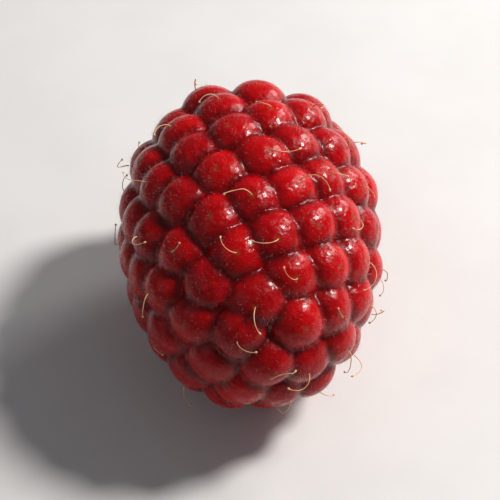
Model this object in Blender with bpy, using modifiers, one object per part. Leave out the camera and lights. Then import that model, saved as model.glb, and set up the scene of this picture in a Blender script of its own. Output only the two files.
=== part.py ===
"""A picked raspberry lying on its side: one hollow body of fused drupelets.

The berry is modelled upright, with the mouth of its hollow near z = 0 and its tip pointing along +Z.
It is then set down on the side that it would lie on by itself, with its tip towards -Y, and the floor,
z = 0, flattens the three drupelets that it rests on.
"""

import math

import bmesh
import bpy
import numpy as np
from mathutils import Matrix, Vector

# Driving dimensions, in metres.
LENGTH = 0.0246  # mouth to tip, over the drupelets
WIDTH = 0.0210  # across the widest ring, over the drupelets
FLATTENING = 0.95  # the berry's thickness over its width
WAIST_HEIGHT = 0.0104  # the widest ring, above the mouth
TIP_LEAN = (0.0007, -0.0003)  # the tip's offset to one side
DRUPELET_PITCH = 0.00325  # from one drupelet's middle to the next one's
SWELL = 0.72  # a drupelet's radius over the distance to its neighbours
DRUPELET_BULGE = 0.95  # a drupelet's half height, outwards, over its radius
LARGEST = 1.08  # the distance to its neighbours that counts in sizing a drupelet, over the pitch

# The barrel: the surface that the drupelets' middles lie on, from the mouth's rim to the tip.
INSET = SWELL * DRUPELET_PITCH * DRUPELET_BULGE
BARREL_RADIUS = WIDTH / 2 - INSET
BARREL_FULLNESS = 0.9  # under 1, its ends are blunter than an ellipsoid's
BELOW_WAIST = 0.0118
ABOVE_WAIST = LENGTH - INSET - WAIST_HEIGHT
RIM_ANGLE = math.radians(-48)
MERIDIAN_POINTS = 400

# The flesh between the drupelets, and the hollow that the plucked receptacle leaves.
FLESH_RISE = 0.0002  # the flesh reaches this far over the barrel
FLESH_ROWS = 12
MOUTH_RADIUS = 0.0047
HOLLOW_NECK = 0.0027  # its radius where the rounded end begins
HOLLOW_DEPTH = 0.0160
HOLLOW_OVERRUN = 0.0030  # how far the cutter runs out of the mouth
HOLLOW_CAP_POINTS = 5
TURNED_STEPS = 24

# How the berry lies.
ROLL = math.radians(17.5)  # the side that it lies on, around its long axis
CONTACT_DEPTH = 0.00025  # how far the floor flattens a drupelet

# How the drupelets are spread: a spiral, shaken a little, and then settled against each other.
SEED = 11
GOLDEN_ANGLE = math.pi * (3 - math.sqrt(5))
SHAKE = 0.22 * DRUPELET_PITCH
PERSONAL_SPACE = 1.35 * DRUPELET_PITCH
PUSH_SHARE = 0.15
SETTLING_ROUNDS = 80
NEIGHBOURS = 6
SPHERE_SEGMENTS = 9
SPHERE_RINGS = 8

FAR = 1.0
WELD_DISTANCE = 2e-6


def meridian():
    """The barrel's outline from the rim to the tip, as rows of radius and height."""
    angle = np.linspace(RIM_ANGLE, math.pi / 2, MERIDIAN_POINTS)
    reach = np.where(angle < 0, BELOW_WAIST, ABOVE_WAIST)
    radius = BARREL_RADIUS * np.cos(angle) ** BARREL_FULLNESS
    return np.column_stack((radius, WAIST_HEIGHT + reach * np.sin(angle)))


def spiral(outline):
    """Places spread evenly over the barrel, in a spiral from the rim to the tip."""
    step = np.linalg.norm(np.diff(outline, axis=0), axis=1)
    ring_area = math.pi * step * (outline[1:, 0] + outline[:-1, 0])
    area = np.concatenate(([0.0], np.cumsum(ring_area)))
    count = round(area[-1] / (math.sqrt(3) / 2 * DRUPELET_PITCH**2))
    share = (np.arange(count) + 0.5) / count * area[-1]
    radius = np.interp(share, area, outline[:, 0])
    height = np.interp(share, area, outline[:, 1])
    turn = np.arange(count) * GOLDEN_ANGLE
    return np.column_stack((radius * np.cos(turn), radius * np.sin(turn), height))


def on_barrel(points, outline):
    """The nearest places on the barrel to these points, and the outward normals there."""
    radius = np.hypot(points[:, 0], points[:, 1])
    ray = points[:, :2] / radius[:, None]
    away = np.hypot(radius[:, None] - outline[:, 0], points[:, 2:] - outline[:, 1])
    nearest = away.argmin(axis=1)
    slope = np.gradient(outline, axis=0)[nearest]
    slope /= np.linalg.norm(slope, axis=1)[:, None]
    places = np.column_stack((ray * outline[nearest, :1], outline[nearest, 1]))
    normals = np.column_stack((ray * slope[:, 1:], -slope[:, 0]))
    return places, normals


def distances(places):
    """Each place's distance to every other one, with itself counted as far away."""
    apart = np.linalg.norm(places[:, None] - places[None], axis=2)
    np.fill_diagonal(apart, FAR)
    return apart


def shaped(points):
    """Points on the round, straight berry, moved to the flattened and leaning one."""
    rise = np.clip(points[:, 2:] / LENGTH, 0, 1) ** 2
    across = points[:, :2] * (1, FLATTENING) + rise * TIP_LEAN
    return np.column_stack((across, points[:, 2]))


def drupelet_places():
    """The drupelets' middles, outward normals and radii."""
    outline = meridian()
    places = spiral(outline)
    shake = np.random.RandomState(SEED).uniform(-SHAKE, SHAKE, places.shape)
    places, normals = on_barrel(places + shake, outline)
    for _ in range(SETTLING_ROUNDS):
        apart = distances(places)
        push = np.clip(PERSONAL_SPACE - apart, 0, None) / apart
        shift = (push[:, :, None] * (places[:, None] - places[None])).sum(axis=1)
        places, normals = on_barrel(places + PUSH_SHARE * shift, outline)
    room = np.sort(distances(places), axis=1)[:, :NEIGHBOURS].mean(axis=1)
    return shaped(places), normals, SWELL * np.minimum(room, LARGEST * DRUPELET_PITCH)


def mesh_object(name, body, collection):
    """A new smooth object in the collection, made from a bmesh."""
    for face in body.faces:
        face.smooth = True
    mesh = bpy.data.meshes.new(name)
    body.to_mesh(mesh)
    body.free()
    obj = bpy.data.objects.new(name, mesh)
    collection.objects.link(obj)
    return obj


def drupelet(index, place, normal, radius, collection):
    """One drupelet: a sphere pressed a little flatter along its normal."""
    body = bmesh.new()
    bmesh.ops.create_uvsphere(body, u_segments=SPHERE_SEGMENTS, v_segments=SPHERE_RINGS, radius=radius)
    outward = Vector(normal).to_track_quat("Z", "Y").to_matrix().to_4x4()
    spin = Matrix.Rotation(index * GOLDEN_ANGLE, 4, "Z")
    stretch = Matrix.Diagonal((1, 1, DRUPELET_BULGE, 1))
    placed = Matrix.Translation(place) @ outward @ spin @ stretch
    bmesh.ops.transform(body, matrix=placed, verts=body.verts)
    return mesh_object(f"drupelet_{index}", body, collection)


def turned(name, outline, collection):
    """A solid of revolution from points of radius and height that run down its outer side."""
    body = bmesh.new()
    corners = [body.verts.new((radius, 0, height)) for radius, height in outline]
    for first, second in zip(corners, corners[1:]):
        body.edges.new((first, second))
    obj = mesh_object(name, body, collection)
    screw = obj.modifiers.new("Turn", "SCREW")
    screw.steps = TURNED_STEPS
    screw.render_steps = TURNED_STEPS
    screw.use_merge_vertices = True
    screw.merge_threshold = WELD_DISTANCE
    return obj


def flesh_outline():
    """The flesh that the drupelets grow from, solid, from the tip down to the rim."""
    rows = meridian()[:: -(MERIDIAN_POINTS // FLESH_ROWS)]
    side = [(radius + FLESH_RISE, height) for radius, height in rows[1:]]
    return [(0.0, rows[0][1] + FLESH_RISE), *side, (0.0, rows[-1][1])]


def hollow_outline():
    """The hollow: a rounded end, a taper, and a straight run out of the mouth."""
    taper_top = HOLLOW_DEPTH - HOLLOW_NECK
    cap = [
        (HOLLOW_NECK * math.sin(angle), taper_top + HOLLOW_NECK * math.cos(angle))
        for angle in np.linspace(0, math.pi / 2, HOLLOW_CAP_POINTS)
    ]
    return [*cap, (MOUTH_RADIUS, 0.0), (MOUTH_RADIUS, -HOLLOW_OVERRUN), (0.0, -HOLLOW_OVERRUN)]


def floor_block(collection):
    """A block whose top is the floor, z = 0."""
    size = 4 * LENGTH
    body = bmesh.new()
    bmesh.ops.create_cube(body, size=size)
    bmesh.ops.translate(body, vec=(0, 0, -size / 2), verts=body.verts)
    return mesh_object("floor_block", body, collection)


def evaluated_mesh(obj):
    """A copy of the object's mesh as its modifiers leave it."""
    return bpy.data.meshes.new_from_object(obj.evaluated_get(bpy.context.evaluated_depsgraph_get()))


def mass_middle(body):
    """The middle of mass of a closed, triangulated bmesh."""
    corners = np.array([[vertex.co for vertex in face.verts] for face in body.faces])
    share = np.einsum("ij,ij->i", corners[:, 0], np.cross(corners[:, 1], corners[:, 2]))
    return Vector((corners.sum(axis=1) / 4 * share[:, None]).sum(axis=0) / share.sum())


def resting_side(mesh):
    """The outward normal of the side that the upright berry would lie on.

    That side is a face of the convex hull with the middle of mass over it. Of all such faces, it is the
    one nearest to the berry lying level at its roll.
    """
    body = bmesh.new()
    body.from_mesh(mesh)
    bmesh.ops.triangulate(body, faces=body.faces)
    middle = mass_middle(body)
    body.clear()
    corners = [body.verts.new(vertex.co) for vertex in mesh.vertices]
    hull = bmesh.ops.convex_hull(body, input=corners)["geom"]
    stable = []
    for face in hull:
        if not isinstance(face, bmesh.types.BMFace):
            continue
        foot = middle - face.normal * (middle - face.verts[0].co).dot(face.normal)
        edges = zip(face.verts[:], face.verts[1:] + face.verts[:1])
        if all((end.co - start.co).cross(foot - start.co).dot(face.normal) > 0 for start, end in edges):
            stable.append(face.normal.copy())
    body.free()
    level = Vector((math.sin(ROLL), -math.cos(ROLL), 0))
    return max(stable, key=level.dot)


def set_down(mesh):
    """The matrix from the upright berry to the one that lies on the floor, over the origin."""
    fall = resting_side(mesh).rotation_difference(Vector((0, 0, -1))).to_matrix().to_4x4()
    tip = fall @ Vector((0, 0, 1))
    lie = Matrix.Rotation(-math.atan2(tip.x, -tip.y), 4, "Z") @ fall
    corners = np.array([lie @ vertex.co for vertex in mesh.vertices])
    low = corners.min(axis=0)
    high = corners.max(axis=0)
    middle = (low + high) / 2
    return Matrix.Translation((-middle[0], -middle[1], -low[2] - CONTACT_DEPTH)) @ lie


def boolean(obj, operation, **operand):
    """Adds a Boolean. The manifold solver keeps the fused drupelets closed where the exact one doesn't."""
    modifier = obj.modifiers.new(operation.capitalize(), "BOOLEAN")
    modifier.operation = operation
    modifier.solver = "MANIFOLD"
    for name, value in operand.items():
        setattr(modifier, name, value)


def as_helper(obj):
    """Leaves an object that only shapes the berry out of the finished part."""
    obj.hide_render = True
    obj.display_type = "WIRE"


def raspberry_skin():
    """Deep red, moist, glossy skin."""
    material = bpy.data.materials.new("raspberry_skin")
    material.use_nodes = True
    shader = material.node_tree.nodes["Principled BSDF"]
    shader.inputs["Base Color"].default_value = (0.42, 0.004, 0.012, 1)
    shader.inputs["Roughness"].default_value = 0.28
    shader.inputs["Metallic"].default_value = 0.0
    return material


def new_collection(name):
    collection = bpy.data.collections.new(name)
    bpy.context.scene.collection.children.link(collection)
    return collection


def main():
    for obj in list(bpy.data.objects):
        bpy.data.objects.remove(obj)
    part = new_collection("raspberry")
    grown = new_collection("drupelets")
    cutters = new_collection("cutters")

    for index, (place, normal, radius) in enumerate(zip(*drupelet_places())):
        as_helper(drupelet(index, Vector(place), normal, radius, grown))
    berry = turned("raspberry", flesh_outline(), part)
    hollow = turned("hollow", hollow_outline(), cutters)
    as_helper(hollow)
    boolean(berry, "DIFFERENCE", object=hollow)
    boolean(berry, "UNION", operand_type="COLLECTION", collection=grown)

    lie = set_down(evaluated_mesh(berry))
    for obj in (berry, hollow, *grown.objects):
        obj.matrix_world = lie
    floor = floor_block(cutters)
    as_helper(floor)
    boolean(berry, "DIFFERENCE", object=floor)
    berry.modifiers.new("Weld", "WELD").merge_threshold = WELD_DISTANCE
    berry.data.materials.append(raspberry_skin())


main()
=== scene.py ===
"""A ripe picked raspberry on a pale floor: its skin, dried styles and down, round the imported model."""

import math

import bpy
import numpy as np
from mathutils import Matrix, Vector

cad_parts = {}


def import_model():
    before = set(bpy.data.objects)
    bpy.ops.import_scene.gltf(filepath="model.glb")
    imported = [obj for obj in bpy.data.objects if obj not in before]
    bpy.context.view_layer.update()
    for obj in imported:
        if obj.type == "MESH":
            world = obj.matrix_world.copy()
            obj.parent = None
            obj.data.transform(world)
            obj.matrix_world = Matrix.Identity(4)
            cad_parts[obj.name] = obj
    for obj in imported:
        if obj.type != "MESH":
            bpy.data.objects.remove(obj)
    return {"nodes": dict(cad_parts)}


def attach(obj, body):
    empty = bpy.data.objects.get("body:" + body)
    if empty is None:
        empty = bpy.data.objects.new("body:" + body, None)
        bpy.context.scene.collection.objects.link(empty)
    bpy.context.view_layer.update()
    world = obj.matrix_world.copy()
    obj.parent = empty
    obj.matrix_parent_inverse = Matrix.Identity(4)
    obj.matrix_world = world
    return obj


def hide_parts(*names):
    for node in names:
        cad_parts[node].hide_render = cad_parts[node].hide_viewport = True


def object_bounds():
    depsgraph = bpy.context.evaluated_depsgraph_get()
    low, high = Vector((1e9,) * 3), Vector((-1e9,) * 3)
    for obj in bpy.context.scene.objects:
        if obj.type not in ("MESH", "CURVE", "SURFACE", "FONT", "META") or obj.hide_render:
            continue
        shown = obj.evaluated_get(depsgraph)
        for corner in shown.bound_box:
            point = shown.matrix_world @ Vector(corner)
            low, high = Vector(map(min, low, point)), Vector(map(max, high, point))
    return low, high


MM = 0.001

# The berry as it grew: upright, its mouth near z = 0 and its tip along +Z. These are part.py's dimensions.
LENGTH = 24.6 * MM
WIDTH = 21.0 * MM
FLATTENING = 0.95
WAIST_HEIGHT = 10.4 * MM
TIP_LEAN = (0.0007, -0.0003)
DRUPELET_PITCH = 3.25 * MM
SWELL = 0.72
DRUPELET_BULGE = 0.95
LARGEST = 1.08
INSET = SWELL * DRUPELET_PITCH * DRUPELET_BULGE
BARREL_RADIUS = WIDTH / 2 - INSET
BARREL_FULLNESS = 0.9
BELOW_WAIST = 11.8 * MM
ABOVE_WAIST = LENGTH - INSET - WAIST_HEIGHT
RIM_ANGLE = math.radians(-48)
RIM_HEIGHT = WAIST_HEIGHT + BELOW_WAIST * math.sin(RIM_ANGLE)
MERIDIAN_POINTS = 400
FLESH_RISE = 0.2 * MM
MOUTH_RADIUS = 4.7 * MM
HOLLOW_NECK = 2.7 * MM
HOLLOW_DEPTH = 16.0 * MM
TAPER_TOP = HOLLOW_DEPTH - HOLLOW_NECK

# How part.py spreads the drupelets.
SEED = 11
GOLDEN_ANGLE = math.pi * (3 - math.sqrt(5))
SHAKE = 0.22 * DRUPELET_PITCH
PERSONAL_SPACE = 1.35 * DRUPELET_PITCH
PUSH_SHARE = 0.15
SETTLING_ROUNDS = 80
NEIGHBOURS = 6

# How part.py sets the berry down: the middle of its mouth, its tip's drop, and its roll.
MOUTH_MIDDLE = Vector((-0.1055, 11.5709, 10.8904)) * MM
TIP_DROP = math.radians(5.0893)
ROLL = math.radians(-16.9627)
LIE = (
    Matrix.Translation(MOUTH_MIDDLE)
    @ Matrix.Rotation(math.pi / 2 + TIP_DROP, 4, "X")
    @ Matrix.Rotation(ROLL, 4, "Z")
)

# How the visible drupelets differ from part.py's even ones.
NORMAL_SCATTER = 0.07
SQUEEZE = 0.05  # at most this share wider one way, and narrower the other way
BULGE_RANGE = (0.93, 1.05)
CROWN_LEAN = 0.16  # how far a drupelet's top leans towards the berry's tip
CROWN_HEIGHT = 0.99  # where a style's root or scar sits, over the drupelet's half height
POLE_NUDGE = 1e-9  # gives a drupelet at the very tip a lean too
SIDE_HINT = (0.31, 0.52, -0.2)  # no drupelet's normal lies along it

# The drupelets' inner ends, which line the hollow.
LINING_START = 1.2 * MM  # the height of the lowest ones, above the mouth
LINING_SPAN = HOLLOW_DEPTH - 2.6 * MM
LINING_INSET = 0.15 * MM  # their middles lie this far behind the hollow's wall
LINING_WIDTH = 0.235  # half of it, over their distance to the berry's axis
LINING_LENGTH = 1.15 * MM
LINING_RISE = 0.52 * MM

# The skin's mesh.
VOXEL = 0.182 * MM
BLEND = 0.085 * MM  # how softly two drupelets meet
LUMP_HEIGHT = 0.035 * MM
LUMP_WAVES = 2.7  # radians of the lumps' waves over a blob's radius
DIMPLE_DEPTH = 0.07 * MM  # where a style grew
DIMPLE_RADIUS = 0.28 * MM
NEAREST_BLOBS = 7
SEARCH_ROWS = 20000  # points that are searched at once
FITTING_ROUNDS = 4
LAST_ROUNDS = 2  # without smoothing
PROBE = 0.004 * MM
LONGEST_STEP = 0.15 * MM
LEAST_SLOPE = 0.2  # squared, so that no step runs away
TINY = 1e-12
WELD_DISTANCE = 0.001 * MM

# What the skin's material reads from the mesh.
# CREASE_WIDTH: how far from a crease the skin's painted crease shade gives way to the drupelet's own red.
CREASE_WIDTH = 1.6 * MM
SCAR_RADIUS = 0.2 * MM
SCARLESS_SHARE = 0.25
LINING_FADE = 0.5 * MM
LINING_MARGIN = 0.3
MOUTH_EDGE = 0.8 * MM

# The hairs of both kinds: tubes round a middle line.
TUBE_HINT = (0.37, 0.71, -0.6)  # no hair runs exactly along it

# The dried styles.
STYLE_SHARE = 0.42  # of the drupelets keep their style
STYLE_POINTS = 22
STYLE_SIDES = 6
STYLE_RADIUS = 0.044 * MM
STYLE_LENGTHS = (1.8 * MM, 3.4 * MM)
STYLE_CURLS = (0.8, 2.1)
STYLE_BENDS = (95, 150)  # degrees
STYLE_BEND_POWER = 0.7  # under 1, it bends most near its root
STYLE_TAPER = 0.45
STYLE_THICKNESSES = (0.8, 1.2)
STYLE_ROOT = 0.06 * MM  # how deep it starts
STYLE_CLEARANCE = 0.16 * MM
STYLE_CLEAR_FROM = 0.25  # the share of its length in which it rises to that
STYLE_SINK = 0.25  # how far the whole of it is let down again, over the clearance
KNOB_RADIUS = 0.09 * MM
KNOB_PLACE = 0.965  # along the style
KNOB_LENGTH = 0.03  # over the style's length
HAIR_ROOM = 0.25 * MM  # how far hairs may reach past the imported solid's box
HAIR_FLOOR = 3 * STYLE_RADIUS  # the lowest that a style's middle line may lie
LIFTING_ROUNDS = 4
LONGEST_LIFT = 0.3 * MM

# The fine down.
DOWN_COUNT = 9000
DOWN_POINTS = 4
DOWN_SIDES = 3
DOWN_RADIUS = 0.0055 * MM
DOWN_LENGTHS = (0.14 * MM, 0.42 * MM)
DOWN_SPREAD = 0.55
DOWN_START = 2.0 * MM  # from a drupelet's middle, before it's moved onto the skin
DOWN_ROOT = 0.01 * MM  # how deep it starts, and the most that a root may be off the skin
DOWN_LEAN = 0.4
DOWN_TAPER = 0.75
OUTSIDE_HOLLOW = 1.0 * MM
ABOVE_FLOOR = 0.6 * MM

# The scene.
FLOOR_HALF = 0.6
FLOOR_DROP = 0.02 * MM
CAMERA_ELEVATION = math.radians(50)
CAMERA_DISTANCE = 0.165


def meridian():
    """The barrel that the drupelets' middles lie on, from the rim to the tip: rows of radius and height."""
    angle = np.linspace(RIM_ANGLE, math.pi / 2, MERIDIAN_POINTS)
    reach = np.where(angle < 0, BELOW_WAIST, ABOVE_WAIST)
    radius = BARREL_RADIUS * np.cos(angle) ** BARREL_FULLNESS
    return np.column_stack((radius, WAIST_HEIGHT + reach * np.sin(angle)))


def spiral(outline):
    """Places spread evenly over the barrel, in a spiral from the rim to the tip."""
    step = np.linalg.norm(np.diff(outline, axis=0), axis=1)
    ring_area = math.pi * step * (outline[1:, 0] + outline[:-1, 0])
    area = np.concatenate(([0.0], np.cumsum(ring_area)))
    count = round(area[-1] / (math.sqrt(3) / 2 * DRUPELET_PITCH**2))
    share = (np.arange(count) + 0.5) / count * area[-1]
    radius = np.interp(share, area, outline[:, 0])
    height = np.interp(share, area, outline[:, 1])
    turn = np.arange(count) * GOLDEN_ANGLE
    return np.column_stack((radius * np.cos(turn), radius * np.sin(turn), height))


def on_barrel(points, outline):
    """The nearest places on the barrel to these points, and the outward normals there."""
    radius = np.hypot(points[:, 0], points[:, 1])
    ray = points[:, :2] / radius[:, None]
    away = np.hypot(radius[:, None] - outline[:, 0], points[:, 2:] - outline[:, 1])
    nearest = away.argmin(axis=1)
    slope = np.gradient(outline, axis=0)[nearest]
    slope /= np.linalg.norm(slope, axis=1)[:, None]
    places = np.column_stack((ray * outline[nearest, :1], outline[nearest, 1]))
    normals = np.column_stack((ray * slope[:, 1:], -slope[:, 0]))
    return places, normals


def distances(places):
    """Each place's distance to every other one, with itself counted as far away."""
    apart = np.linalg.norm(places[:, None] - places[None], axis=2)
    np.fill_diagonal(apart, 1.0)
    return apart


def shaped(points):
    """Points on the round, straight berry, moved to the flattened and leaning one."""
    rise = np.clip(points[:, 2:] / LENGTH, 0, 1) ** 2
    across = points[:, :2] * (1, FLATTENING) + rise * TIP_LEAN
    return np.column_stack((across, points[:, 2]))


def drupelet_places():
    """The drupelets' middles, outward normals and radii."""
    outline = meridian()
    places = spiral(outline)
    shake = np.random.RandomState(SEED).uniform(-SHAKE, SHAKE, places.shape)
    places, normals = on_barrel(places + shake, outline)
    for _ in range(SETTLING_ROUNDS):
        apart = distances(places)
        push = np.clip(PERSONAL_SPACE - apart, 0, None) / apart
        shift = (push[:, :, None] * (places[:, None] - places[None])).sum(axis=1)
        places, normals = on_barrel(places + PUSH_SHARE * shift, outline)
    room = np.sort(distances(places), axis=1)[:, :NEIGHBOURS].mean(axis=1)
    return shaped(places), normals, SWELL * np.minimum(room, LARGEST * DRUPELET_PITCH)


def unit(vectors):
    """The vectors at length 1."""
    return vectors / np.linalg.norm(vectors, axis=-1, keepdims=True)


def hollow_radius(height):
    """The hollow's radius at a height above the mouth, below its rounded end."""
    return MOUTH_RADIUS + (HOLLOW_NECK - MOUTH_RADIUS) * height / TAPER_TOP


class Berry:
    """The berry's solid form as a field: negative inside, and about a distance near its skin.

    Each blob is a rounded ellipsoid with its own axes. The first ones are the drupelets, and the rest are
    their inner ends, which line the hollow.
    """

    def __init__(self):
        chance = np.random.RandomState(SEED + 1)
        middles, normals, radii = drupelet_places()
        count = len(middles)
        self.count = count
        normals = unit(normals + chance.normal(0, NORMAL_SCATTER, normals.shape))
        squeeze = chance.uniform(-SQUEEZE, SQUEEZE, count)
        bulge = DRUPELET_BULGE * chance.uniform(*BULGE_RANGE, count)
        outer_size = np.column_stack((radii * (1 + squeeze), radii * (1 - squeeze), radii * bulge))
        self.tone = chance.uniform(0, 1, count)

        turn = np.arctan2(middles[:, 1], middles[:, 0])
        rise = (middles[:, 2] - RIM_HEIGHT) / (LENGTH - INSET - RIM_HEIGHT)
        height = LINING_START + rise * LINING_SPAN
        radius = hollow_radius(height) + LINING_INSET
        ray = np.column_stack((np.cos(turn), np.sin(turn), np.zeros(count)))
        inner = ray * radius[:, None] + np.outer(height, (0, 0, 1))
        lengths = np.full(count, LINING_LENGTH)
        inner_size = np.column_stack((radius * LINING_WIDTH, lengths, np.full(count, LINING_RISE)))

        self.middles = np.concatenate((middles, inner))
        self.sizes = np.concatenate((outer_size, inner_size))
        spin = chance.uniform(0, math.pi, count)
        axes = np.concatenate((self.frames(normals, spin), self.upright(ray)))
        self.shrinks = axes / self.sizes[:, :, None]
        self.reaches = self.sizes[:, :2].mean(axis=1)
        lean = unit(np.array((0, 0, 1)) - normals * normals[:, 2:] + POLE_NUDGE)
        self.crowns = unit(normals + CROWN_LEAN * lean)
        self.crown_places = middles + self.crowns * outer_size[:, 2:] * CROWN_HEIGHT
        self.phases = chance.uniform(0, 2 * math.pi, (2 * count, 3))

    def frames(self, normals, spin):
        """For each normal, two tangents turned by spin, and the normal."""
        side = unit(np.cross(normals, SIDE_HINT))
        other = np.cross(normals, side)
        first = side * np.cos(spin)[:, None] + other * np.sin(spin)[:, None]
        return np.stack((first, np.cross(normals, first), normals), axis=1)

    def upright(self, ray):
        """For each ray out of the berry's long axis: round the berry, along it, and the ray."""
        along = np.tile((0.0, 0.0, 1.0), (len(ray), 1))
        return np.stack((np.cross(along, ray), along, ray), axis=1)

    def near(self, points):
        """The blobs that are nearest to each point."""
        reach = self.sizes.mean(axis=1)
        squares = (self.middles**2).sum(axis=1)
        rows = []
        for part in np.array_split(points, max(1, len(points) // SEARCH_ROWS)):
            squared = (part**2).sum(axis=1)[:, None] + squares - 2 * part @ self.middles.T
            apart = np.sqrt(squared) - reach
            rows.append(np.argpartition(apart, NEAREST_BLOBS, axis=1)[:, :NEAREST_BLOBS])
        return np.concatenate(rows)

    def blob_distances(self, points, near):
        """About how far each point is outside each of its near blobs, with the skin's low lumps."""
        local = np.matmul(self.shrinks[near], (points[:, None] - self.middles[near])[..., None])[..., 0]
        reach = np.sqrt((local**2).sum(axis=2))
        waves = np.sin(LUMP_WAVES * local + self.phases[near])
        lumps = waves[..., 0] * waves[..., 1] + waves[..., 1] * waves[..., 2]
        away = (reach - 1) * self.reaches[near] - LUMP_HEIGHT * lumps
        apart = ((points[:, None] - self.crown_places[near % self.count]) ** 2).sum(axis=2)
        return away + DIMPLE_DEPTH * np.exp(-apart / DIMPLE_RADIUS**2) * (near < self.count)

    def flesh(self, points):
        """The flesh between the drupelets, with the hollow taken out of it."""
        radius = np.hypot(points[:, 0], points[:, 1])
        height = points[:, 2]
        reach = np.where(height < WAIST_HEIGHT, BELOW_WAIST, ABOVE_WAIST)
        rise = (height - WAIST_HEIGHT) / reach
        across = (radius / (BARREL_RADIUS + FLESH_RISE)) ** (1 / BARREL_FULLNESS)
        barrel = (np.hypot(rise, across) - 1) * BARREL_RADIUS
        return np.maximum(np.maximum(barrel, RIM_HEIGHT - height), -self.hollow(points))

    def hollow(self, points):
        """How far a point is outside the hollow."""
        radius = np.hypot(points[:, 0], points[:, 1])
        height = points[:, 2]
        return np.where(
            height < TAPER_TOP,
            radius - hollow_radius(height),
            np.hypot(radius, height - TAPER_TOP) - HOLLOW_NECK,
        )

    def field(self, points, near):
        """The blobs and the flesh, softly joined."""
        away = np.column_stack((self.blob_distances(points, near), self.flesh(points)))
        low = away.min(axis=1)
        return low - BLEND * np.log(np.exp((low[:, None] - away) / BLEND).sum(axis=1))

    def field_and_slope(self, points, near):
        """The field and how it grows along each axis."""
        value = self.field(points, near)
        slope = [(self.field(points + PROBE * step, near) - value) / PROBE for step in np.eye(3)]
        return value, np.column_stack(slope)

    def onto_skin(self, points, near, lift=0.0):
        """Points moved along the field's slope until they are lift above the skin."""
        value, slope = self.field_and_slope(points, near)
        steep = np.maximum((slope**2).sum(axis=1), LEAST_SLOPE)
        step = np.clip((lift - value) / steep, -LONGEST_STEP, LONGEST_STEP)
        return points + slope * step[:, None], slope


def transformed(points, matrix):
    """Rows of points through a 4 by 4 matrix."""
    matrix = np.array(matrix)
    return points @ matrix[:3, :3].T + matrix[:3, 3]


def coordinates(mesh):
    """The places of a mesh's vertices, as rows."""
    points = np.empty(len(mesh.vertices) * 3, dtype=np.float32)
    mesh.vertices.foreach_get("co", points)
    return points.reshape(-1, 3).astype(np.float64)


def remeshed(source):
    """An even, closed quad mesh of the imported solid."""
    holder = bpy.data.objects.new("remesh", source.data.copy())
    bpy.context.scene.collection.objects.link(holder)
    holder.modifiers.new("Weld", "WELD").merge_threshold = WELD_DISTANCE
    remesh = holder.modifiers.new("Remesh", "REMESH")
    remesh.mode = "VOXEL"
    remesh.voxel_size = VOXEL
    mesh = bpy.data.meshes.new_from_object(holder.evaluated_get(bpy.context.evaluated_depsgraph_get()))
    bpy.data.objects.remove(holder)
    return mesh


def relaxed(points, edges, slope):
    """Points moved halfway to the middle of their neighbours, along the skin only."""
    total = np.zeros_like(points)
    valence = np.bincount(edges.ravel(), minlength=len(points))[:, None]
    for axis in range(3):
        total[:, axis] += np.bincount(edges[:, 0], points[edges[:, 1], axis], minlength=len(points))
        total[:, axis] += np.bincount(edges[:, 1], points[edges[:, 0], axis], minlength=len(points))
    shift = total / valence - points
    normal = unit(slope + TINY)
    shift -= normal * (shift * normal).sum(axis=1, keepdims=True)
    return points + 0.5 * shift


def add_values(mesh, name, values):
    """A number for each vertex, which the material reads by name."""
    layer = mesh.attributes.new(name, "FLOAT", "POINT")
    layer.data.foreach_set("value", np.ascontiguousarray(values, dtype=np.float32))


def edge_ends(mesh):
    """The two vertex numbers of each edge, as rows."""
    edges = np.empty(len(mesh.edges) * 2, dtype=np.int32)
    mesh.edges.foreach_get("vertices", edges)
    return edges.reshape(-1, 2)


def add_skin_values(mesh, berry, points, near):
    """How far each vertex is from a crease (for the painted crease shade), its drupelet's tone, its scar,
    and if it lines the hollow.
    """
    away = berry.blob_distances(points, near)
    away[near >= berry.count] = 1.0
    order = np.argsort(away, axis=1)
    rows = np.arange(len(points))
    owner = near[rows, order[:, 0]] % berry.count
    gap = away[rows, order[:, 1]] - away[rows, order[:, 0]]
    tone = berry.tone[owner]
    crown = np.linalg.norm(points - berry.crown_places[owner], axis=1)
    inside = 1 - np.clip(berry.hollow(points) / LINING_FADE - LINING_MARGIN, 0, 1)
    # cap is 0 in a crease and 1 on a drupelet's top; the skin's material paints shade into the creases by
    # it.
    add_values(mesh, "cap", np.clip(gap / CREASE_WIDTH, 0, 1))
    add_values(mesh, "tone", tone)
    add_values(mesh, "scar", np.exp(-((crown / SCAR_RADIUS) ** 2)) * (tone > SCARLESS_SHARE))
    add_values(mesh, "inside", inside * (points[:, 2] > MOUTH_EDGE))


def skin_mesh(berry, node):
    """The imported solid's surface, remade fine and fitted to the berry's field."""
    mesh = remeshed(node)
    points = transformed(coordinates(mesh), LIE.inverted())
    edges = edge_ends(mesh)
    near = berry.near(points)
    for _ in range(FITTING_ROUNDS):
        points, slope = berry.onto_skin(points, near)
        points = relaxed(points, edges, slope)
    for _ in range(LAST_ROUNDS):
        points, slope = berry.onto_skin(points, near)
    add_skin_values(mesh, berry, points, near)

    lying = transformed(points, LIE)
    lying[:, 2] = np.maximum(lying[:, 2], 0)
    mesh.vertices.foreach_set("co", lying.astype(np.float32).ravel())
    mesh.shade_smooth()
    mesh.update()
    return mesh


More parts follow.
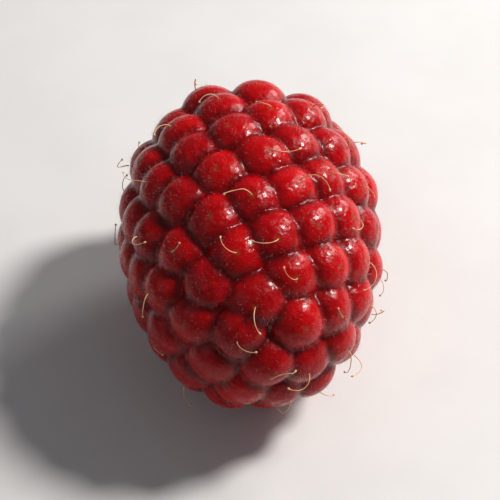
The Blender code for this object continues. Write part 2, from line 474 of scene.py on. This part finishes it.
def tubes(name, paths, radii, sides):
    """Closed tapered tubes, one along each path.

    The paths are tubes by points by 3, and the radii are tubes by points.
    """
    count, steps, _ = paths.shape
    along = unit(np.gradient(paths, axis=1))
    side = unit(np.cross(along, unit(np.array(TUBE_HINT))))
    other = np.cross(along, side)
    angle = np.arange(sides) * 2 * math.pi / sides
    ring = side[:, :, None] * np.cos(angle)[:, None] + other[:, :, None] * np.sin(angle)[:, None]
    rings = paths[:, :, None] + ring * radii[:, :, None, None]
    points = np.concatenate((rings.reshape(count, -1, 3), paths[:, :1], paths[:, -1:]), axis=1)
    faces = []
    for corner in range(sides):
        after = (corner + 1) % sides
        for step in range(steps - 1):
            low = step * sides
            high = low + sides
            faces.append((low + corner, low + after, high + after))
            faces.append((low + corner, high + after, high + corner))
        last = (steps - 1) * sides
        faces.append((steps * sides, after, corner))
        faces.append((steps * sides + 1, last + corner, last + after))
    size = steps * sides + 2
    faces = (np.array(faces)[None] + np.arange(count)[:, None, None] * size).reshape(-1, 3)
    mesh = bpy.data.meshes.new(name)
    mesh.from_pydata(points.reshape(-1, 3).tolist(), [], faces.tolist())
    mesh.shade_smooth()
    return add_object(name, mesh)


def lifted(berry, paths, clearance, box):
    """Paths of an upright berry moved clear of its skin and into the lying berry's box."""
    shape = paths.shape
    points = paths.reshape(-1, 3)
    lift = np.tile(clearance, len(points) // len(clearance))
    low, high = (np.array(corner) for corner in box)
    for _ in range(LIFTING_ROUNDS):
        near = berry.near(points)
        value, slope = berry.field_and_slope(points, near)
        points = points + unit(slope) * np.clip(lift - value, 0, LONGEST_LIFT)[:, None]
        lying = np.clip(transformed(points, LIE), low, high)
        points = transformed(lying, LIE.inverted())
    return points.reshape(shape)


def styles(berry, box):
    """The dried styles: golden hairs that rise from some drupelets' crowns, bend over and end in a knob."""
    chance = np.random.RandomState(SEED + 2)
    chosen = np.flatnonzero(chance.uniform(size=berry.count) < STYLE_SHARE)
    roots = berry.crown_places[chosen] - berry.crowns[chosen] * STYLE_ROOT
    out = berry.crowns[chosen]
    across = unit(np.cross(out, chance.normal(size=out.shape)))
    sideways = np.cross(out, across)
    length = chance.uniform(*STYLE_LENGTHS, len(chosen))
    curl = chance.uniform(*STYLE_CURLS, len(chosen)) * chance.choice((-1, 1), len(chosen))
    steps = np.linspace(0, 1, STYLE_POINTS)
    bend = np.radians(chance.uniform(*STYLE_BENDS, len(chosen)))[:, None] * steps**STYLE_BEND_POWER
    turn = curl[:, None] * steps
    heading = (
        out[:, None] * np.cos(bend)[..., None]
        + across[:, None] * (np.sin(bend) * np.cos(turn))[..., None]
        + sideways[:, None] * (np.sin(bend) * np.sin(turn))[..., None]
    )
    paths = roots[:, None] + np.cumsum(heading, axis=1) * (length / STYLE_POINTS)[:, None, None]
    clearance = STYLE_CLEARANCE * (np.clip(steps / STYLE_CLEAR_FROM, 0, 1) - STYLE_SINK)
    paths = lifted(berry, paths, clearance, box)
    thickness = STYLE_RADIUS * (1 - STYLE_TAPER * steps)
    thickness = thickness * chance.uniform(*STYLE_THICKNESSES, (len(chosen), 1))
    knob = np.exp(-(((steps - KNOB_PLACE) / KNOB_LENGTH) ** 2)) * KNOB_RADIUS
    return tubes("styles", transformed(paths, LIE), thickness + knob, STYLE_SIDES)


def down(berry, box):
    """Fine short pale hairs all over the drupelets."""
    chance = np.random.RandomState(SEED + 3)
    owner = chance.randint(0, berry.count, DOWN_COUNT)
    rays = unit(berry.crowns[owner] + chance.normal(0, DOWN_SPREAD, (DOWN_COUNT, 3)))
    points = berry.middles[owner] + rays * DOWN_START
    near = berry.near(points)
    for _ in range(FITTING_ROUNDS):
        points, slope = berry.onto_skin(points, near)
    value, slope = berry.field_and_slope(points, near)
    kept = (np.abs(value) < DOWN_ROOT) & (berry.hollow(points) > OUTSIDE_HOLLOW)
    kept &= transformed(points, LIE)[:, 2] > ABOVE_FLOOR
    points = points[kept]
    out = unit(slope[kept])
    lean = unit(np.cross(out, chance.normal(size=out.shape)))
    length = chance.uniform(*DOWN_LENGTHS, len(points))
    steps = np.linspace(0, 1, DOWN_POINTS)
    reach = out[:, None] * steps[:, None] + lean[:, None] * (DOWN_LEAN * steps**2)[:, None]
    paths = points[:, None] - out[:, None] * DOWN_ROOT + reach * length[:, None, None]
    low, high = (np.array(corner) for corner in box)
    lying = transformed(paths.reshape(-1, 3), LIE)
    inside = ((lying > low) & (lying < high)).all(axis=1).reshape(len(paths), -1).all(axis=1)
    paths = lying.reshape(paths.shape)[inside]
    thickness = np.tile(DOWN_RADIUS * (1 - DOWN_TAPER * steps), (len(paths), 1))
    return tubes("down", paths, thickness, DOWN_SIDES)


class Graph:
    """A material's nodes, made a few at a time."""

    def __init__(self, name):
        self.material = bpy.data.materials.new(name)
        self.material.use_nodes = True
        self.tree = self.material.node_tree
        self.shader = self.tree.nodes["Principled BSDF"]

    def fill(self, node, inputs):
        """Sets each of a node's inputs to a plain value, or links it to another node's output."""
        for key, value in inputs.items():
            if isinstance(value, bpy.types.NodeSocket):
                self.tree.links.new(value, node.inputs[key])
            else:
                node.inputs[key].default_value = value

    def add(self, kind, inputs=None, **settings):
        """A new node of this kind, with its inputs and settings filled in."""
        node = self.tree.nodes.new("ShaderNode" + kind)
        for key, value in settings.items():
            setattr(node, key, value)
        self.fill(node, inputs or {})
        return node

    def value(self, name):
        """The mesh's own number of this name."""
        return self.add("Attribute", attribute_name=name).outputs["Fac"]

    def noise(self, size, detail=3.0, roughness=0.5):
        """Noise with features of about this size, in the object's own place."""
        place = self.add("TexCoord").outputs["Object"]
        settings = {"Vector": place, "Scale": 1 / size, "Detail": detail, "Roughness": roughness}
        return self.add("TexNoise", settings).outputs["Fac"]

    def ranged(self, value, low, high, to_low=0.0, to_high=1.0):
        """The value's smooth rise from low to high, as one from to_low to to_high."""
        settings = {"Value": value, "From Min": low, "From Max": high, "To Min": to_low, "To Max": to_high}
        return self.add("MapRange", settings, interpolation_type="SMOOTHSTEP").outputs["Result"]

    def mixed(self, share, first, second):
        """The second colour laid over the first by share."""
        node = self.add("Mix", data_type="RGBA")
        self.fill(node, {0: share, 6: first, 7: second})
        return node.outputs[2]

    def product(self, first, second):
        """One number times the other."""
        return self.add("Math", {0: first, 1: second}, operation="MULTIPLY").outputs[0]

    def bump(self, height, distance, strength, under=None):
        """A bumpy normal, over another one if there is one under it."""
        inputs = {"Height": height, "Distance": distance, "Strength": strength}
        if under is not None:
            inputs["Normal"] = under
        return self.add("Bump", inputs).outputs["Normal"]


def skin_material():
    """Deep red, moist and slightly translucent, with painted shade darkening the creases, paler in the
    hollow.
    """
    graph = Graph("raspberry_skin")
    cap = graph.value("cap")
    tone = graph.value("tone")
    # Painted shade: deep holds darker reds that stand in for the shade between the drupelets, and the cap
    # value lays them into the creases.
    deep = graph.mixed(tone, (0.11, 0.0003, 0.0015, 1), (0.17, 0.0004, 0.001, 1))
    ripe = graph.mixed(tone, (0.27, 0.0004, 0.0025, 1), (0.44, 0.0008, 0.002, 1))
    body = graph.mixed(graph.ranged(cap, 0.0, 0.55), deep, ripe)
    cloud = graph.ranged(graph.noise(1.6 * MM), 0.40, 0.66, 0.0, 0.35)
    body = graph.mixed(cloud, body, (0.52, 0.002, 0.006, 1))
    scar = graph.product(graph.value("scar"), 0.75)
    body = graph.mixed(scar, body, (0.30, 0.075, 0.028, 1))
    mottle = graph.ranged(graph.noise(0.9 * MM), 0.35, 0.7)
    lining = graph.mixed(mottle, (0.82, 0.30, 0.27, 1), (0.92, 0.58, 0.52, 1))
    colour = graph.mixed(graph.value("inside"), body, lining)

    rough = graph.ranged(graph.noise(0.55 * MM, 4.0), 0.35, 0.68, 0.20, 0.42)
    grain = graph.bump(graph.noise(0.16 * MM, 3.0, 0.6), 0.010 * MM, 0.55)
    lumps = graph.bump(graph.noise(0.62 * MM, 2.5), 0.22 * MM, 0.8, grain)
    graph.shader.subsurface_method = "RANDOM_WALK"
    graph.fill(
        graph.shader,
        {
            "Base Color": colour,
            "Roughness": rough,
            "Normal": lumps,
            "IOR": 1.42,
            "Subsurface Weight": 0.9,
            "Subsurface Radius": (1.0, 0.10, 0.07),
            "Subsurface Scale": 1.3 * MM,
            "Specular IOR Level": 0.20,
            "Coat Weight": 0.34,
            "Coat Roughness": 0.09,
            "Coat IOR": 1.28,
        },
    )
    return graph.material


def style_material():
    """Dry and golden, redder in places, a little shiny."""
    graph = Graph("dried_style")
    mottle = graph.ranged(graph.noise(0.9 * MM), 0.35, 0.65)
    colour = graph.mixed(mottle, (0.62, 0.30, 0.12, 1), (0.80, 0.52, 0.30, 1))
    rough = graph.ranged(graph.noise(0.2 * MM), 0.3, 0.7, 0.35, 0.55)
    graph.fill(
        graph.shader,
        {"Base Color": colour, "Roughness": rough, "Subsurface Weight": 0.3, "Subsurface Scale": 0.05 * MM},
    )
    return graph.material


def down_material():
    """Pale, nearly colourless hairs."""
    graph = Graph("pale_down")
    mottle = graph.ranged(graph.noise(2 * MM), 0.35, 0.65)
    colour = graph.mixed(mottle, (0.80, 0.48, 0.45, 1), (0.90, 0.72, 0.68, 1))
    graph.fill(graph.shader, {"Base Color": colour, "Roughness": 0.4, "Transmission Weight": 0.3})
    return graph.material


def floor_material():
    """Plain, pale and matt, with a faint mottle."""
    graph = Graph("pale_floor")
    mottle = graph.ranged(graph.noise(9 * MM), 0.3, 0.7)
    colour = graph.mixed(mottle, (0.66, 0.65, 0.64, 1), (0.69, 0.68, 0.67, 1))
    graph.fill(graph.shader, {"Base Color": colour, "Roughness": 0.6})
    return graph.material


def add_object(name, data):
    """A new object in the scene."""
    obj = bpy.data.objects.new(name, data)
    bpy.context.scene.collection.objects.link(obj)
    return obj


def add_floor():
    """A plain square floor, just under the berry."""
    mesh = bpy.data.meshes.new("floor")
    corners = [(x * FLOOR_HALF, y * FLOOR_HALF, 0) for x, y in ((-1, -1), (1, -1), (1, 1), (-1, 1))]
    mesh.from_pydata(corners, [], [(0, 1, 2, 3)])
    floor = add_object("floor", mesh)
    floor.location.z = -FLOOR_DROP
    floor.data.materials.append(floor_material())


def aimed(obj, target):
    """Turns a light or camera, which looks along its own -Z, to the target."""
    obj.rotation_euler = (target - obj.location).to_track_quat("-Z", "Y").to_euler()


def add_softbox(name, target, direction, distance, size, power, colour):
    """A round area light that faces the target from this direction."""
    light = bpy.data.lights.new(name, "AREA")
    light.shape = "DISK"
    light.size = size
    light.energy = power
    light.color = colour
    obj = add_object(name, light)
    obj.location = target + Vector(direction).normalized() * distance
    aimed(obj, target)


def add_light(target):
    """A soft key from the picture's upper right, a low light behind it, a broad fill, and a pale sky."""
    add_softbox(
        "key",
        target,
        direction=(0.62, 0.24, 0.74),
        distance=0.30,
        size=0.06,
        power=1.12,
        colour=(1.0, 0.97, 0.94),
    )
    add_softbox(
        "rim",
        target,
        direction=(0.62, 0.68, 0.36),
        distance=0.30,
        size=0.09,
        power=0.35,
        colour=(1.0, 0.98, 0.97),
    )
    add_softbox(
        "fill",
        target,
        direction=(-0.75, -0.35, 0.55),
        distance=0.45,
        size=0.35,
        power=0.10,
        colour=(0.95, 0.97, 1.0),
    )
    world = bpy.data.worlds.new("studio")
    world.use_nodes = True
    sky = world.node_tree.nodes["Background"]
    sky.inputs["Color"].default_value = (0.93, 0.95, 1.0, 1)
    sky.inputs["Strength"].default_value = 0.17
    bpy.context.scene.world = world


def add_camera(target):
    """Looks down at the berry's upper side, its tip towards the bottom of the picture."""
    data = bpy.data.cameras.new("camera")
    data.lens = 150
    data.clip_start = 0.005
    data.clip_end = 5
    camera = add_object("camera", data)
    back = Vector((0, -math.cos(CAMERA_ELEVATION), math.sin(CAMERA_ELEVATION)))
    camera.location = target + back * CAMERA_DISTANCE
    aimed(camera, target)
    bpy.context.scene.camera = camera


def main():
    """Loads the frame, and builds the scene and the berry's three pieces round it."""
    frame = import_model()
    cad_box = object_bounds()
    low, high = (Vector(corner) for corner in cad_box)
    target = (low + high) / 2
    add_camera(target)
    add_light(target)
    add_floor()
    bpy.context.scene.view_settings.view_transform = "Standard"

    berry = Berry()
    flesh = add_object("raspberry_flesh", skin_mesh(berry, frame["nodes"]["raspberry"]))
    room = (
        low + Vector((-HAIR_ROOM, -HAIR_ROOM, HAIR_FLOOR)),
        high + Vector((HAIR_ROOM, HAIR_ROOM, HAIR_ROOM)),
    )
    hairs = styles(berry, room)
    fuzz = down(berry, room)
    for piece, material in ((flesh, skin_material()), (hairs, style_material()), (fuzz, down_material())):
        piece.data.materials.clear()
        piece.data.materials.append(material)
        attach(piece, "root")
    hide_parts("raspberry")


main()
